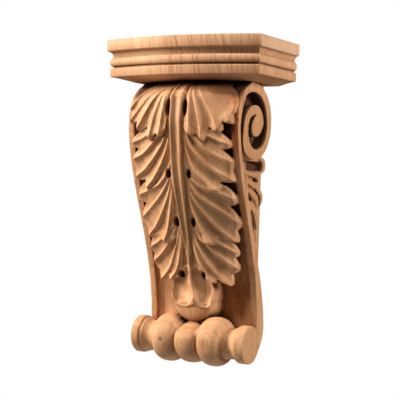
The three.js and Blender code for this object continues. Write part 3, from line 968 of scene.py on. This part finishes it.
def contour_lines(nodes, mm, wander, centre, radii):
    """Wavy growth lines round a centre, fading out at the radii."""
    far = nodes.length(nodes.away(mm, centre, radii))
    bent = nodes.math("MULTIPLY", wander, CONTOURS["wander"])
    turns = nodes.math("ADD", nodes.math("MULTIPLY", far, CONTOURS["count"]), bent)
    line = nodes.remap(nodes.math("PINGPONG", turns, 0.5), *CONTOURS["line"])
    return nodes.math("MULTIPLY", line, nodes.remap(far, *CONTOURS["edge"], 0.0, CONTOURS["share"]))


def wood(look):
    def build(nodes):
        place = nodes.add("ShaderNodeTexCoord").outputs["Object"]
        mm = nodes.vector("MULTIPLY", place, (1 / MM, 1 / MM, 1 / MM))
        grain = {name: nodes.grain(mm, *settings) for name, settings in GRAIN.items()}
        rings = growth_rings(nodes, mm, grain["wander"], look)
        figured = figured_share(nodes, mm, look)
        fleck_share = nodes.remap(grain["fleck"], *SHOWN["fleck"], 0.0, look["fleck_share"])
        ring_share = nodes.remap(rings, *SHOWN["ring"], 0.0, look["ring_share"])
        fine_share = nodes.remap(grain["fine"], *SHOWN["fine"])
        layers = [
            (nodes.remap(grain["streak"], *SHOWN["streak"]), look["middle"]),
            (nodes.remap(grain["broad"], *SHOWN["broad"]), BROAD_TONE),
            (nodes.math("MULTIPLY", ring_share, figured), RING_TONE),
            (nodes.math("MULTIPLY", fine_share, figured), FINE_TONE),
            (fleck_share, FLECK_TONE),
        ]
        for kind, patches in ((round_patch, "marks_and_painted_light"), (shade_box, "shade_pockets"), (front_mark, "front_marks")):
            for centre, sizes, share, tone in look[patches]:
                layers.append((kind(nodes, mm, centre, sizes, share), tone))
        for centre, radii in look["contours"]:
            lines = contour_lines(nodes, mm, grain["wander"], centre, radii)
            layers.append((lines, CONTOUR_TONE))
        # Painted shade: the more closed in ambient occlusion finds a place, the browner and then
        # nearer black it is painted
        shelter = nodes.add(
            "ShaderNodeAmbientOcclusion", {"Distance": PAINTED_SHADE_OCCLUSION["distance"]}, samples=PAINTED_SHADE_OCCLUSION["samples"])
        open_share = shelter.outputs["AO"]
        layers.append((nodes.remap(open_share, *SHOWN["hollow"]), PAINTED_HOLLOW_SHADE))
        layers.append((nodes.remap(open_share, *SHOWN["deep_shade"]), PAINTED_DEEP_SHADE))
        colour = shade(*look["pale"])
        for share, tone in layers:
            colour = nodes.blend(share, colour, shade(*tone))

        fine_part = nodes.math("MULTIPLY", grain["fine"], RELIEF["fine"])
        streak_part = nodes.math("MULTIPLY", grain["streak"], RELIEF["streak"])
        bump = nodes.add("ShaderNodeBump", {
            "Strength": RELIEF["strength"], "Distance": RELIEF["distance"],
            "Height": nodes.math("ADD", fine_part, streak_part)})
        return nodes.add("ShaderNodeBsdfPrincipled", {
            "Base Color": colour, "Roughness": nodes.remap(grain["fine"], *SHOWN["roughness"]),
            "Normal": bump.outputs[0], "Specular IOR Level": SPECULAR})
    return build


# Pieces

console = build_console()
console.data.materials.clear()
console.data.materials.append(new_material("beech_console", wood(CONSOLE_LOOK)))
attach(console, "root")
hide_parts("console")

board = build_board()
board.data.materials.append(new_material("beech_board", wood(BOARD_LOOK)))
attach(board, "root")
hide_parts("abacus")


# Studio: pale floor well below the hung capital, white surroundings and soft lights

FLOOR = {
    "radius": 0.8, "level": -0.9, "sides": 96, "colour": (0.9, 0.89, 0.87, 1), "roughness": 0.9,
}
FILL = {"colour": (1.0, 0.97, 0.93, 1), "strength": 0.035}
LIGHTS = [
    {"name": "key_left", "place": (-1.33, -0.72, 0.58), "target": (0, -0.05, 0.0),
     "size": 0.5, "power": 40, "colour": (1.0, 0.95, 0.89)},
    {"name": "top_front", "place": (-0.25, -1.05, 1.5), "target": (0, -0.05, 0.0),
     "size": 0.4, "power": 22, "colour": (1.0, 0.96, 0.91)},
    {"name": "side_right", "place": (1.55, 0.05, 0.45), "target": (0.05, -0.03, 0.05),
     "size": 0.7, "power": 24, "colour": (1.0, 0.98, 0.96)},
]
CAMERA = {
    "yaw": 29.59, "pitch": 1.04, "roll": 1.75, "distance": 1.17624,
    "target": (-0.02276, 0.0, 0.00552), "sensor": 36, "lens": 96.88,
}
GAMMA = 0.9


def build_floor():
    def matt_white(nodes):
        return nodes.add("ShaderNodeBsdfPrincipled", {
            "Base Color": FLOOR["colour"], "Roughness": FLOOR["roughness"],
            "Specular IOR Level": 0.0})
    mesh = bpy.data.meshes.new("floor")
    turns = [2 * math.pi * i / FLOOR["sides"] for i in range(FLOOR["sides"])]
    radius = FLOOR["radius"]
    points = [(radius * math.cos(t), radius * math.sin(t), FLOOR["level"]) for t in turns]
    mesh.from_pydata(points, [], [tuple(range(FLOOR["sides"]))])
    floor = bpy.data.objects.new("floor", mesh)
    bpy.context.scene.collection.objects.link(floor)
    mesh.materials.append(new_material("floor_white", matt_white))


def area_light(name, place, target, size, power, colour):
    light = bpy.data.lights.new(name, "AREA")
    light.shape = "DISK"
    light.size = size
    light.energy = power
    light.color = colour
    lamp = bpy.data.objects.new(name, light)
    bpy.context.scene.collection.objects.link(lamp)
    lamp.location = place
    lamp.rotation_euler = (Vector(target) - Vector(place)).to_track_quat("-Z", "Y").to_euler()


def build_world():
    """White behind the object, and a weak warm fill on it."""
    world = bpy.data.worlds.new("studio")
    bpy.context.scene.world = world
    nodes = Nodes(world)
    seen = nodes.add("ShaderNodeBackground", {"Color": (1, 1, 1, 1), "Strength": 1.0})
    fill = nodes.add("ShaderNodeBackground", {"Color": FILL["colour"], "Strength": FILL["strength"]})
    straight = nodes.add("ShaderNodeLightPath").outputs["Is Camera Ray"]
    choice = nodes.add("ShaderNodeMixShader", {0: straight, 1: fill.outputs[0], 2: seen.outputs[0]})
    nodes.add("ShaderNodeOutputWorld", {0: choice.outputs[0]})


def build_camera():
    """The camera that took the photograph, fitted to the board's corners and the side profile."""
    yaw, pitch, roll = (math.radians(CAMERA[name]) for name in ("yaw", "pitch", "roll"))
    level_part = math.cos(pitch)
    back = Vector((math.sin(yaw) * level_part, -math.cos(yaw) * level_part, math.sin(pitch)))
    level = Vector((math.cos(yaw), math.sin(yaw), 0))
    upright = back.cross(level)
    right = math.cos(roll) * level + math.sin(roll) * upright
    up = math.cos(roll) * upright - math.sin(roll) * level
    place = Vector(CAMERA["target"]) + back * CAMERA["distance"]
    camera = bpy.data.cameras.new("photo_camera")
    camera.sensor_width = CAMERA["sensor"]
    camera.lens = CAMERA["lens"]
    holder = bpy.data.objects.new("photo_camera", camera)
    bpy.context.scene.collection.objects.link(holder)
    holder.matrix_world = Matrix((
        (right.x, up.x, back.x, place.x),
        (right.y, up.y, back.y, place.y),
        (right.z, up.z, back.z, place.z),
        (0, 0, 0, 1),
    ))
    bpy.context.scene.camera = holder


build_floor()
build_world()
for settings in LIGHTS:
    area_light(**settings)
build_camera()
bpy.context.scene.view_settings.view_transform = "Standard"
bpy.context.scene.view_settings.gamma = GAMMA
